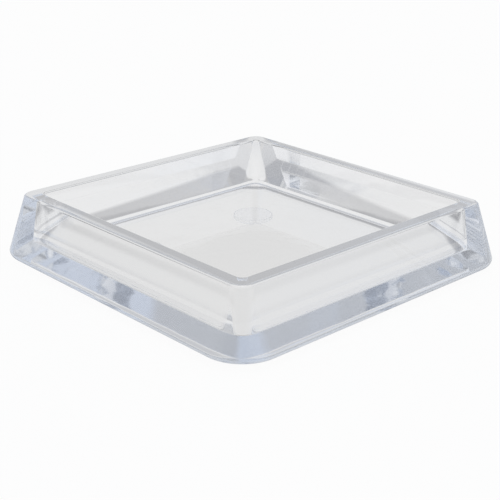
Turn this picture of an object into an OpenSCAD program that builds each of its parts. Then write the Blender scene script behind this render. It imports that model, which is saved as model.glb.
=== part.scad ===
// Square clear furniture coaster. A wall frame with sloping sides stands round the recess for the leg,
// a floor plate is bonded into the frame from below, and four clear grip dots carry it all.
// Millimetres, +Z up. The origin is the middle of the square, on the plane that the grip dots rest on.

/* [Recess] */
// Width between the recess walls
recess_w = 48.1; // [40:0.1:70]
// Depth from the rim to the floor
recess_depth = 8.7; // [5:0.05:16]
// Corner radius between two recess walls
recess_corner_r = 1.2; // [0.6:0.1:4]
// Rounding of the rim's inner edge
mouth_round = 0.3; // [0.1:0.05:0.6]

/* [Wall frame] */
// Thickness of the wall at the height of the rim
wall_t = 2.4; // [1.6:0.1:5]
// How much further out each outer face stands at the foot than at the rim
wall_flare = 3.95; // [2.6:0.05:6]
// Outer corner radius at the rim
rim_corner_r = 2.2; // [1.2:0.1:5]
// Rounding of the outer rim edge
rim_round = 0.6; // [0.2:0.1:1.1]
// Rounding of the outer foot edge
foot_round = 0.85; // [0.2:0.05:1]

/* [Floor plate] */
// Thickness of the floor plate
plate_t = 1.7; // [1.2:0.05:3]
// How far the plate reaches under the wall on each side
plate_lap = 1.9; // [1:0.1:2.5]
// Clearance round the plate's edge, filled by clear cement
plate_clear = 0.1; // [0.02:0.01:0.3]

/* [Grip dots] */
// Diameter of a grip dot
dot_d = 7; // [4:0.1:12]
// Thickness of a grip dot, which is how far the base stands off the surface
dot_t = 0.8; // [0.5:0.1:2]
// Rounding of a dot's lower edge
dot_round = 0.3; // [0.1:0.05:0.4]
// Distance between neighbouring dot centres
dot_pitch = 25; // [14:0.5:30]

/* [Hidden] */
$fn = 96;
clear_plastic = [0.85, 0.9, 0.95];
clear_silicone = [0.75, 0.8, 0.85];
// Cutters run this far past the faces that they open
over = 1;
// Heights of the plate's underside, the recess floor and the rim
base_z = dot_t;
floor_z = base_z + plate_t;
rim_z = floor_z + recess_depth;
// Centres of the corner arcs of the recess and of the frame's outside
recess_c = recess_w / 2 - recess_corner_r;
frame_c = recess_w / 2 + wall_t - rim_corner_r;
// Corner radius of the floor plate
plate_r = recess_corner_r + plate_lap;

function unit(v) = v / norm(v);

// Where an arc of radius r that rounds a corner begins and ends, and its centre
function rounding(before, corner, after, r) =
    let (u = unit(before - corner), v = unit(after - corner), half = acos(u * v) / 2)
    [corner + u * r / tan(half), corner + v * r / tan(half), corner + unit(u + v) * r / sin(half)];

// Square solid with round corners between two heights. Its child outline shows what reaches past the
// corner centres, which stand c from the middle.
module square_solid(c, low, high) {
    for (side = [0, 90])
        rotate([90, 0, side])
            linear_extrude(2 * c, center = true) {
                translate([-c, low]) square([2 * c, high - low]);
                translate([c, 0]) children();
                mirror([1, 0]) translate([c, 0]) children();
            }
    for (turn = [0 : 90 : 270])
        rotate(turn)
            translate([c, c, 0])
                rotate_extrude(angle = 90)
                    children();
}

// Straight-sided square solid with corner radius r
module square_block(c, r, low, high) {
    square_solid(c, low, high)
        translate([0, low]) square([r, high - low]);
}

// Outline of the frame's sloping outside, rounded at the foot and at the rim
module frame_outline() {
    foot = [rim_corner_r + wall_flare, base_z];
    rim = [rim_corner_r, rim_z];
    at_foot = rounding([0, base_z], foot, rim, foot_round);
    at_rim = rounding(foot, rim, [0, rim_z], rim_round);
    polygon([[0, base_z], at_foot[0], at_foot[1], at_rim[0], at_rim[1], [0, rim_z]]);
    translate(at_foot[2]) circle(foot_round);
    translate(at_rim[2]) circle(rim_round);
}

// Outline of the recess with an upright wall, widened at the mouth so that the rim's inner edge is rounded
module recess_outline() {
    edge = recess_corner_r + mouth_round;
    difference() {
        translate([0, base_z]) square([edge, rim_z + over - base_z]);
        translate([recess_corner_r, base_z - over])
            square([mouth_round + over, rim_z - mouth_round - base_z + over]);
        translate([edge, rim_z - mouth_round]) circle(mouth_round);
    }
}

module wall_frame() {
    color(clear_plastic)
        difference() {
            square_solid(frame_c, base_z, rim_z) frame_outline();
            square_solid(recess_c, base_z, rim_z + over) recess_outline();
            square_block(recess_c, plate_r + plate_clear, base_z - over, floor_z);
        }
}

module floor_plate() {
    color(clear_plastic)
        square_block(recess_c, plate_r, base_z, floor_z);
}

// One self-adhesive dot under the plate, in the quarter that the signs name
module grip_dot(sx, sy) {
    color(clear_silicone)
        translate([sx, sy, 0] * dot_pitch / 2)
            rotate_extrude() {
                square([dot_d / 2 - dot_round, dot_t]);
                translate([0, dot_round]) square([dot_d / 2, dot_t - dot_round]);
                translate([dot_d / 2 - dot_round, dot_round]) circle(dot_round);
            }
}

module grip_dot_front() { grip_dot(1, -1); }
module grip_dot_right() { grip_dot(1, 1); }
module grip_dot_back() { grip_dot(-1, 1); }
module grip_dot_left() { grip_dot(-1, -1); }

wall_frame();
floor_plate();
grip_dot_front();
grip_dot_right();
grip_dot_back();
grip_dot_left();
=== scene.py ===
import bpy, bmesh, math
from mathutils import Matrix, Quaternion, Vector


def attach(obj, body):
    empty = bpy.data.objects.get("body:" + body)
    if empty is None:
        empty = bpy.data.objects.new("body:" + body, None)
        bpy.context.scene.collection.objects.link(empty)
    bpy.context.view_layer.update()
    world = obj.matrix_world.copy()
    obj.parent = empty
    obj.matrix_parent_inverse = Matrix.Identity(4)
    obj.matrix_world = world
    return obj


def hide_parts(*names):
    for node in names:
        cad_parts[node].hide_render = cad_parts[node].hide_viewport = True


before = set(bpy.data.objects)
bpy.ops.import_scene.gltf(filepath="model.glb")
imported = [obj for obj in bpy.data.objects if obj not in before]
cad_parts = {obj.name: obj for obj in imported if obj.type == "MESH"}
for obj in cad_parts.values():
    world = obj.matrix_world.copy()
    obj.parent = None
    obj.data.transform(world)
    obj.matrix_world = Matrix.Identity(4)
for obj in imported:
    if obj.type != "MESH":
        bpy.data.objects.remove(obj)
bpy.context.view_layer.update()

# Wall frame
# The square clear wall of the coaster, injection moulded in one shot from polished clear plastic.
# Its outside slopes out to the foot, its inside is upright, and its edges are rounded.
MM = 0.001
BASE_Z = 0.8                            # underside, held off the table by the grip dots
FLOOR_Z = 2.5                           # recess floor, where the plate meets the walls
RIM_Z = 11.2
FOOT_HALF, FOOT_CORNER_R, FOOT_ROUND = 30.4, 6.95, 0.85
RIM_HALF, RIM_CORNER_R, RIM_ROUND = 26.45, 1.55, 0.6
RECESS_HALF, RECESS_CORNER_R, MOUTH_ROUND = 24.05, 1.2, 0.3
PLATE_LAP = 1.9                         # how far the seat for the floor plate reaches under the wall
JOINT_HALF, JOINT_CORNER_R = RECESS_HALF + PLATE_LAP, RECESS_CORNER_R + PLATE_LAP
BEAD_REACH, BEAD_ROUND = 0.33, 0.27     # fine bead of cement along the foot of the recess wall
BEAD_HALF, BEAD_CORNER_R = RECESS_HALF - BEAD_REACH, RECESS_CORNER_R - BEAD_REACH
MATT_DEPTH = 0.06                       # how far up from an underside its matt finish goes
CORNERS = ((1, 1), (-1, 1), (-1, -1), (1, -1))


def square_ring(half, centre, z, arc_steps=24, side_steps=6):
    """Points of one rounded square at height z, with its corner arcs about (centre, centre)."""
    r = half - centre
    points = []
    for k, (sx, sy) in enumerate(CORNERS):
        for i in range(arc_steps + 1):
            t = (k + i / arc_steps) * math.pi / 2
            points.append((sx * centre + r * math.cos(t), sy * centre + r * math.sin(t), z))
        nx, ny = CORNERS[(k + 1) % 4]
        t = (k + 1) * math.pi / 2
        start = Vector((sx * centre + r * math.cos(t), sy * centre + r * math.sin(t), z))
        end = Vector((nx * centre + r * math.cos(t), ny * centre + r * math.sin(t), z))
        points += [tuple(start.lerp(end, i / side_steps)) for i in range(1, side_steps)]
    return points


def rounded_path(stations, closed, arc_steps=7, hold=0.03, long_run=3, run_step=0.17):
    """Section of a square moulding, as rings of (half width, corner centre, height, crisp, cemented).
    Each station is (half width, corner radius, height, edge rounding, whether the run after it is cemented).
    A ring on each side of a rounding keeps the flats flat, and four rings share out each long run."""
    spots = [Vector((half, z)) for half, r, z, edge, cemented in stations]
    centres = [half - r for half, r, z, edge, cemented in stations]
    count = len(stations)
    rings = []
    for i, (half, r, z, edge, cemented) in enumerate(stations):
        j, k = (i - 1) % count, (i + 1) % count
        back, ahead = spots[j] - spots[i], spots[k] - spots[i]
        if edge == 0:
            rings.append((half, centres[i], z, True, cemented))
            reach, clear = 0, 0
        else:
            u, v = back.normalized(), ahead.normalized()
            corner = u.angle(v)
            reach = edge / math.tan(corner / 2)
            clear = reach + hold
            c0 = centres[i] + (centres[j] - centres[i]) * reach / back.length
            c1 = centres[i] + (centres[k] - centres[i]) * reach / ahead.length
            middle = spots[i] + (u + v).normalized() * edge / math.sin(corner / 2)
            first = spots[i] + u * reach - middle
            turn = (math.pi - corner) * (1 if u.x * v.y - u.y * v.x < 0 else -1)
            p = spots[i] + u * clear
            rings.append((p.x, c0, p.y, False, cemented))
            for s in range(arc_steps + 1):
                a = turn * s / arc_steps
                arc_half = middle.x + first.x * math.cos(a) - first.y * math.sin(a)
                arc_z = middle.y + first.x * math.sin(a) + first.y * math.cos(a)
                rings.append((arc_half, c0 + (c1 - c0) * s / arc_steps, arc_z, False, cemented))
            p = spots[i] + v * clear
            rings.append((p.x, c1, p.y, False, cemented))
        run = ahead.length - reach
        if run > long_run and (closed or i < count - 1):
            for s in range(1, 5):
                d = clear + run * run_step * s
                p = spots[i] + ahead.normalized() * d
                centre = centres[i] + (centres[k] - centres[i]) * d / ahead.length
                rings.append((p.x, centre, p.y, False, cemented))
    return rings


def solid_piece(name, bm):
    """Object from a closed mesh, smooth shaded and with its faces turned outward."""
    bmesh.ops.recalc_face_normals(bm, faces=bm.faces)
    for face in bm.faces:
        face.smooth = True
    mesh = bpy.data.meshes.new(name)
    bm.to_mesh(mesh)
    bm.free()
    piece = bpy.data.objects.new(name, mesh)
    bpy.context.scene.collection.objects.link(piece)
    return piece


def moulded(name, rings, closed):
    """Piece through a run of square rings: a closed run makes a frame, an open one is capped at both ends.
    Crisp rings become sharp edges, and cemented faces take the second material."""
    bm = bmesh.new()
    loops = [[bm.verts.new(Vector(p) * MM) for p in square_ring(*ring[:3])] for ring in rings]
    followers = loops[1:] + loops[:1] if closed else loops[1:]
    for low, high, (half, centre, z, crisp, cemented) in zip(loops, followers, rings):
        for j in range(len(low)):
            j2 = (j + 1) % len(low)
            face = bm.faces.new((low[j], low[j2], high[j2], high[j]))
            face.material_index = int(cemented)
    for loop, (half, centre, z, crisp, cemented) in zip(loops, rings):
        if crisp:
            for j in range(len(loop)):
                bm.edges.get((loop[j], loop[(j + 1) % len(loop)])).smooth = False
    if not closed:
        bm.faces.new(loops[0][::-1])
        bm.faces.new(loops[-1])
    return solid_piece(name, bm)


class Wire:
    """One output in a node tree. Arithmetic on it adds Math nodes, and node() adds any other node."""

    def __init__(self, tree, socket=None):
        self.tree = tree
        self.socket = socket

    def node(self, kind, settings=None, sockets=None, output=0):
        """New node with its settings, then the values or links of its sockets. Gives one of its outputs."""
        made = self.tree.nodes.new(kind)
        for name, value in (settings or {}).items():
            if name == "stops":
                ramp = made.color_ramp.elements
                while len(ramp) < len(value):
                    ramp.new(0.5)
                for stop, (place, colour) in zip(ramp, value):
                    stop.position = place
                    stop.color = (*colour, 1)
            else:
                setattr(made, name, value)
        for name, value in (sockets or {}).items():
            if isinstance(value, Wire):
                self.tree.links.new(value.socket, made.inputs[name])
            else:
                made.inputs[name].default_value = value
        return Wire(self.tree, made.outputs[output]) if made.outputs else None

    def maths(self, operation, a, b=0.0):
        return self.node("ShaderNodeMath", {"operation": operation}, {0: a, 1: b})

    def __add__(self, other):
        return self.maths("ADD", self, other)

    def __radd__(self, other):
        return self.maths("ADD", other, self)

    def __mul__(self, other):
        return self.maths("MULTIPLY", self, other)

    def __rmul__(self, other):
        return self.maths("MULTIPLY", other, self)

    def __lt__(self, other):
        return self.maths("LESS_THAN", self, other)

    def __gt__(self, other):
        return self.maths("GREATER_THAN", self, other)

    def __or__(self, other):
        return self.maths("MAXIMUM", self, other)

    def __ror__(self, other):
        return self.maths("MAXIMUM", other, self)

    def __abs__(self):
        return self.maths("ABSOLUTE", self)


def clear_finish(name, tint, polish, matt_below, matt, ripple):
    """Clear moulding, polished down to the height matt_below, and matt and slightly rippled under it.
    Its bulk dims and blues the light that runs a long way inside it."""
    material = bpy.data.materials.new(name)
    material.use_nodes = True
    material.node_tree.nodes.clear()
    start = Wire(material.node_tree)
    place = start.node("ShaderNodeTexCoord", output="Object")
    height = start.node("ShaderNodeSeparateXYZ", {}, {"Vector": place}, "Z")
    flow = start.node("ShaderNodeTexNoise", {}, {"Vector": place, "Scale": 140.0, "Detail": 1.5}, "Fac")
    smear = start.node("ShaderNodeTexNoise", {}, {"Vector": place, "Scale": 420.0, "Detail": 3.0}, "Fac")
    uneven = 0.7 + 0.6 * smear          # about 1, because smear is about a half
    under = height < matt_below * MM
    rough = polish * uneven + (matt - polish) * under
    waves = start.node("ShaderNodeBump", {}, {
        "Height": flow * under, "Strength": ripple, "Distance": 0.0004}, "Normal")
    skin = start.node("ShaderNodeBsdfPrincipled", {}, {
        "Base Color": (*tint, 1), "Roughness": rough, "Normal": waves, "IOR": 1.49,
        "Transmission Weight": 1.0})
    bulk = start.node("ShaderNodeVolumeAbsorption", {}, {"Color": (0.41, 0.52, 0.69, 1), "Density": 4.5})
    start.node("ShaderNodeOutputMaterial", {}, {"Surface": skin, "Volume": bulk})
    return material


clear_plastic = clear_finish(
    "clear_plastic", (0.99, 0.99, 0.99), polish=0.01, matt_below=BASE_Z + MATT_DEPTH, matt=0.04, ripple=0.15)

# Clear cement bends light as the plastic does, so the faces that it joins don't show.
clear_cement = bpy.data.materials.new("clear_cement")
clear_cement.use_nodes = True
clear_cement.node_tree.nodes["Principled BSDF"].inputs["Alpha"].default_value = 0

wall_section = rounded_path([
    (FOOT_HALF, FOOT_CORNER_R, BASE_Z, FOOT_ROUND, False),
    (RIM_HALF, RIM_CORNER_R, RIM_Z, RIM_ROUND, False),
    (RECESS_HALF, RECESS_CORNER_R, RIM_Z, MOUTH_ROUND, False),
    (RECESS_HALF, RECESS_CORNER_R, FLOOR_Z, BEAD_ROUND, False),
    (BEAD_HALF, BEAD_CORNER_R, FLOOR_Z, 0, True),
    (JOINT_HALF, JOINT_CORNER_R, FLOOR_Z, 0, True),
    (JOINT_HALF, JOINT_CORNER_R, BASE_Z, 0, False),
], closed=True)
wall = moulded("wall_frame_clear", wall_section, closed=True)
wall.data.materials.append(clear_plastic)
wall.data.materials.append(clear_cement)
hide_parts("wall_frame")
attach(wall, "root")

# Floor plate
# The thin clear floor, a flat moulding let into the seat under the wall frame from below.
# Clear cement holds it there, and its top is the floor of the recess.
FIT = 0.003                             # gap to the wall frame, which the cement fills
HUB_HALF, HUB_CORNER_R = 0.4, 0.2       # small square that closes the middle of both faces
plate_section = rounded_path([
    (HUB_HALF, HUB_CORNER_R, BASE_Z, 0, False),
    (JOINT_HALF - FIT, JOINT_CORNER_R - FIT, BASE_Z, 0, True),
    (JOINT_HALF - FIT, JOINT_CORNER_R - FIT, FLOOR_Z - FIT, 0, True),
    (BEAD_HALF, BEAD_CORNER_R, FLOOR_Z - FIT, 0, False),
    (HUB_HALF, HUB_CORNER_R, FLOOR_Z - FIT, 0, False),
], closed=False)
plate = moulded("floor_plate_clear", plate_section, closed=False)
plate.data.materials.append(clear_plastic)
plate.data.materials.append(clear_cement)
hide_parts("floor_plate")
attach(plate, "root")

# Grip dots
# Four round clear silicone dots, die cut with a soft lower edge and stuck under the plate.
# They carry the coaster and keep it from sliding.
DOT_R, DOT_T, DOT_PITCH = 3.5, 0.8, 25.0
DOT_HUB_R = 0.3                         # small disc that closes the middle of both faces
LOWER_ROUND = 0.3
UPPER_EASE, UPPER_FALL = 0.02, 0.06     # width and height of the eased upper edge
LOWER_HOLD, UPPER_HOLD = 0.05, 0.1      # rings this far in from the edges keep the faces flat
GLUE = 0.01                             # film of adhesive under the plate
ROUND_STEPS, TURN_STEPS = 8, 96
clear_silicone = clear_finish(
    "clear_silicone", (0.99, 0.99, 1.0), polish=0.02, matt_below=MATT_DEPTH, matt=0.1, ripple=0.0)
dot_top = DOT_T - GLUE
dot_section = [(DOT_HUB_R, 0.0), (DOT_R - LOWER_ROUND - LOWER_HOLD, 0.0)]
for i in range(ROUND_STEPS + 1):
    t = math.pi / 2 * i / ROUND_STEPS
    dot_section.append((DOT_R - LOWER_ROUND * (1 - math.sin(t)), LOWER_ROUND * (1 - math.cos(t))))
dot_section += [(DOT_R, dot_top - UPPER_FALL), (DOT_R - UPPER_EASE, dot_top)]
dot_section += [(DOT_R - UPPER_HOLD, dot_top), (DOT_HUB_R, dot_top)]
turns = [2 * math.pi * i / TURN_STEPS for i in range(TURN_STEPS)]
for name, sx, sy in (("front", 1, -1), ("right", 1, 1), ("back", -1, 1), ("left", -1, -1)):
    dot_x, dot_y = sx * DOT_PITCH / 2, sy * DOT_PITCH / 2
    bm = bmesh.new()
    loops = []
    for r, z in dot_section:
        ring = [(dot_x + r * math.cos(a), dot_y + r * math.sin(a), z) for a in turns]
        loops.append([bm.verts.new(Vector(p) * MM) for p in ring])
    for low, high in zip(loops, loops[1:]):
        for j in range(TURN_STEPS):
            j2 = (j + 1) % TURN_STEPS
            bm.faces.new((low[j], low[j2], high[j2], high[j]))
    bm.faces.new(loops[0][::-1])
    bm.faces.new(loops[-1])
    dot = solid_piece("grip_dot_" + name + "_clear", bm)
    dot.data.materials.append(clear_silicone)
    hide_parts("grip_dot_" + name)
    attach(dot, "root")

# Table
# A pale sheet of card that the coaster stands on. It is white to the camera and takes a soft shadow.
# For light through the plastic it glows, and the coaster's shade is drawn in the colour of that glow.
TABLE_HALF = 1.5                        # metres
TABLE_DROP = 0.01                       # keeps the card just clear of the dots
SHADE_X, SHADE_Y = -0.9, 0.3            # middle of the painted shade, a little off the coaster's middle
SHADE_CORNER = 0.536                    # cuts off the corners of the square shade
SHADE_REACH = 100.0                     # where the shade's last colour starts
CAMERA_SHARE = 0.95                     # share of glow to the camera; the rest of the card takes the shadow
WHITE = (1, 1, 1, 1)
CARD_SHADE = (                          # millimetres out from the middle, and the colour there, painted shade included
    (25.0, (0.8, 0.797, 0.79)),         # slight painted shade below the floor
    (25.5, (0.3, 0.3, 0.31)),           # painted dark line of shade under the plate's edge
    (26.3, (0.3, 0.3, 0.31)),
    (26.8, (0.8, 0.8, 0.8)),
    (28.5, (0.82, 0.82, 0.82)),
    (29.2, (0.5, 0.5, 0.51)),           # painted shadow ring by the foot
    (31.8, (0.52, 0.52, 0.53)),
    (32.0, (0.86, 0.86, 0.86)),         # open card
    (37.0, (0.86, 0.86, 0.86)),
    # painted shade: the card is darker and bluer further out
    (45.0, (0.7, 0.71, 0.74)),
    (70.0, (0.66, 0.68, 0.72)),
    (100.0, (0.9, 0.9, 0.9)),
)


def mixed(share, first, second):
    """Colour that goes from the first to the second as share goes from 0 to 1."""
    # On a colour Mix node, input 0 is the factor, 6 and 7 are the colours and output 2 is the mixture.
    return share.node("ShaderNodeMix", {"data_type": "RGBA"}, {0: share, 6: first, 7: second}, 2)


bm = bmesh.new()
bmesh.ops.create_grid(bm, x_segments=1, y_segments=1, size=TABLE_HALF)
mesh = bpy.data.meshes.new("table")
bm.to_mesh(mesh)
bm.free()
table = bpy.data.objects.new("table", mesh)
table.location = Vector((SHADE_X, SHADE_Y, -TABLE_DROP)) * MM
bpy.context.scene.collection.objects.link(table)
card = bpy.data.materials.new("pale_card")
card.use_nodes = True
card.node_tree.nodes.clear()
start = Wire(card.node_tree)
matt_card = start.node("ShaderNodeBsdfDiffuse", {}, {"Color": (0.8, 0.8, 0.8, 1)})
seen = start.node("ShaderNodeLightPath", output="Is Camera Ray")
mirrored = start.node("ShaderNodeLightPath", output="Is Glossy Ray")
through = start.node("ShaderNodeLightPath", output="Is Transmission Ray")
place = start.node("ShaderNodeTexCoord", output="Object")
x = start.node("ShaderNodeSeparateXYZ", {}, {"Vector": place}, "X")
y = start.node("ShaderNodeSeparateXYZ", {}, {"Vector": place}, "Y")
out = abs(x) | abs(y) | SHADE_CORNER * (abs(x) + abs(y))
stops = [(r / SHADE_REACH, colour) for r, colour in CARD_SHADE]
shade = start.node("ShaderNodeValToRGB", {"stops": stops}, {"Fac": out * (1 / SHADE_REACH / MM)}, "Color")
glow = start.node("ShaderNodeEmission", {}, {"Color": mixed(seen, shade, WHITE), "Strength": 1.0})
glowing = CAMERA_SHARE * seen | through | mirrored
face = start.node("ShaderNodeMixShader", {}, {0: glowing, 1: matt_card, 2: glow})
start.node("ShaderNodeOutputMaterial", {}, {"Surface": face})
mesh.materials.append(card)

# Studio light
# A soft square panel hung over the table, in a pale room that shows white to the camera.
# The room is dimmer at middle height, darker on the camera's side and bluish at the right.
PANEL_SIZE, PANEL_WATTS, PANEL_PLACE = 0.5, 0.6, (-0.05, 0.05, 0.9)
ROOM = (                                # height, from 0 at the horizon to 1 overhead, and the colour there
    (0.0, (0.82, 0.83, 0.85)),
    (0.15, (0.82, 0.83, 0.85)),
    (0.2, (0.59, 0.595, 0.6)),
    (0.69, (0.56, 0.57, 0.6)),
    (0.73, (0.88, 0.88, 0.9)),
)
TO_RIGHT, BLUISH = (0.69, 0.73, 0), (0.74, 0.8, 0.91, 1)
TO_CAMERA, DARKER = (0.676, -0.637, 0.37), (0.42, 0.43, 0.46, 1)
BOUNCES, CLEAR_BOUNCES = 100, 64        # light crosses the floor in a great many reflections


def turned_to(way, side, least, most, share=1.0):
    """Rises from 0 to share as the cosine of the angle between a way and a side goes from least to most."""
    cosine = way.node("ShaderNodeVectorMath", {"operation": "DOT_PRODUCT"}, {0: way, 1: side}, "Value")
    return way.node("ShaderNodeMapRange", {}, {
        "Value": cosine, "From Min": least, "From Max": most, "To Max": share})


world = bpy.data.worlds.new("studio")
bpy.context.scene.world = world
world.use_nodes = True
world.node_tree.nodes.clear()
start = Wire(world.node_tree)
way = start.node("ShaderNodeTexCoord", output="Generated")
up = start.node("ShaderNodeSeparateXYZ", {}, {"Vector": way}, "Z")
room = start.node("ShaderNodeValToRGB", {"stops": ROOM}, {"Fac": up}, "Color")
room = mixed(turned_to(way, TO_RIGHT, least=0.02, most=0.22, share=0.6), room, BLUISH)
room = mixed(turned_to(way, TO_CAMERA, least=0.6, most=0.98), room, DARKER)
seen = start.node("ShaderNodeLightPath", output="Is Camera Ray")
walls = start.node("ShaderNodeBackground", {}, {"Color": mixed(seen, room, WHITE), "Strength": 1.0})
start.node("ShaderNodeOutputWorld", {}, {"Surface": walls})
panel = bpy.data.lights.new("overhead_panel", "AREA")
panel.shape = "RECTANGLE"
panel.size = PANEL_SIZE
panel.size_y = PANEL_SIZE
panel.energy = PANEL_WATTS
lamp = bpy.data.objects.new("overhead_panel", panel)
lamp.location = PANEL_PLACE
lamp.rotation_euler = (-lamp.location).to_track_quat("-Z", "Y").to_euler()
bpy.context.scene.collection.objects.link(lamp)
scene = bpy.context.scene
scene.cycles.max_bounces = BOUNCES
scene.cycles.transmission_bounces = BOUNCES
scene.cycles.glossy_bounces = BOUNCES
scene.cycles.transparent_max_bounces = CLEAR_BOUNCES
scene.view_settings.view_transform = "Standard"

# Camera
# It looks down at the front corner by 22 degrees, from less than 20 cm away.
# A little roll and shift set the coaster in the frame.
TILT, SWING, ROLL = math.radians(21.72), math.radians(46.71), math.radians(0.5)
DISTANCE = 0.1882                       # metres from the middle of the underside
FRAME_PX, FOCAL_PX, SHIFT_X_PX, SHIFT_Y_PX = 500, 1136, 0.3, 6.4
SENSOR = 36
back = Vector((math.sin(SWING) * math.cos(TILT), -math.cos(SWING) * math.cos(TILT), math.sin(TILT)))
lens = bpy.data.cameras.new("camera")
lens.sensor_width = SENSOR
lens.lens = SENSOR * FOCAL_PX / FRAME_PX
lens.clip_start = 0.005
lens.shift_x = SHIFT_X_PX / FRAME_PX
lens.shift_y = SHIFT_Y_PX / FRAME_PX
camera = bpy.data.objects.new("camera", lens)
camera.location = Vector((0, 0, BASE_Z * MM)) + back * DISTANCE
camera.rotation_euler = ((-back).to_track_quat("-Z", "Y") @ Quaternion((0, 0, 1), ROLL)).to_euler()
scene.collection.objects.link(camera)
scene.camera = camera
